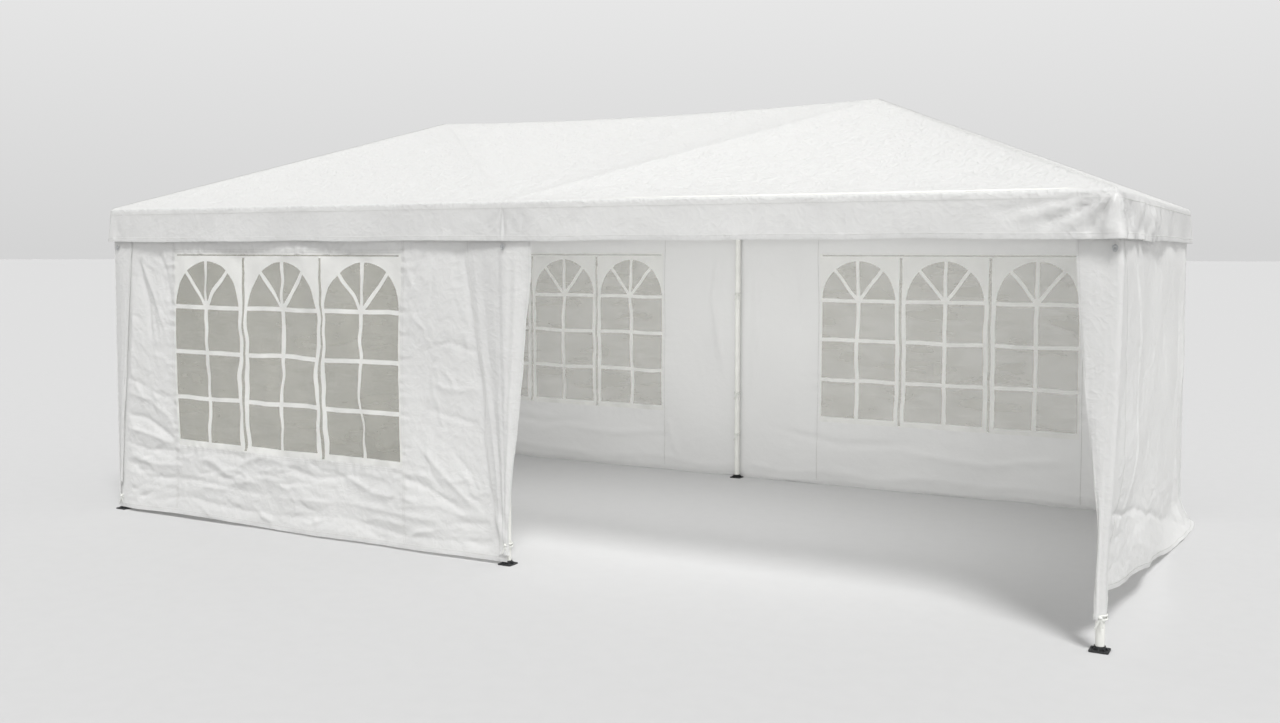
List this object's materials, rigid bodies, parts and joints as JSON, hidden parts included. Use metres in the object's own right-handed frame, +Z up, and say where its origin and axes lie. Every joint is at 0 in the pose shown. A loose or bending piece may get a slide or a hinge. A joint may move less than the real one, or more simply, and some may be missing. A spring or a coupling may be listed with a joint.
{
  "type": "marquee tent",
  "caption": "Party tent with a hipped white fabric roof and valance on a white steel tube frame, clear-windowed side walls, plain end walls and one open bay.",
  "frame": {"origin": "on the ground at the middle of the tent", "axes": "+X along the long side, to the right seen from the open front; +Y to the back; +Z up"},
  "size_m": [6, 3, 2.5],
  "materials": {
    "tarpaulin": "white coated polyethylene sheet, slightly glossy",
    "clear_film": "clear flexible film, glossy",
    "white_steel": "white powder coat, satin",
    "black_plastic": "black, moulded, matt"
  },
  "bodies": {
    "root": {"roof_cover": "tarpaulin", "front_left_wall": "tarpaulin", "back_left_wall": "tarpaulin", "back_right_wall": "tarpaulin", "left_end_wall": "tarpaulin", "right_end_wall": "tarpaulin", "front_left_window": "clear_film", "back_left_window": "clear_film", "back_right_window": "clear_film", "leg_front_left": "white_steel", "leg_front_middle": "white_steel", "leg_front_right": "white_steel", "leg_back_left": "white_steel", "leg_back_middle": "white_steel", "leg_back_right": "white_steel", "foot_front_left": "black_plastic", "foot_front_middle": "black_plastic", "foot_front_right": "black_plastic", "foot_back_left": "black_plastic", "foot_back_middle": "black_plastic", "foot_back_right": "black_plastic", "connector_front_left": "white_steel", "connector_front_middle": "white_steel", "connector_front_right": "white_steel", "connector_back_left": "white_steel", "connector_back_middle": "white_steel", "connector_back_right": "white_steel", "connector_peak_left": "white_steel", "connector_peak_right": "white_steel", "eave_tube_front_left": "white_steel", "eave_tube_front_right": "white_steel", "eave_tube_back_left": "white_steel", "eave_tube_back_right": "white_steel", "eave_tube_left_end": "white_steel", "eave_tube_right_end": "white_steel", "rafter_left_front_corner": "white_steel", "rafter_left_front_middle": "white_steel", "rafter_left_back_corner": "white_steel", "rafter_left_back_middle": "white_steel", "rafter_right_front_corner": "white_steel", "rafter_right_front_middle": "white_steel", "rafter_right_back_corner": "white_steel", "rafter_right_back_middle": "white_steel", "ridge_tube": "white_steel"}
  },
  "joints": []
}
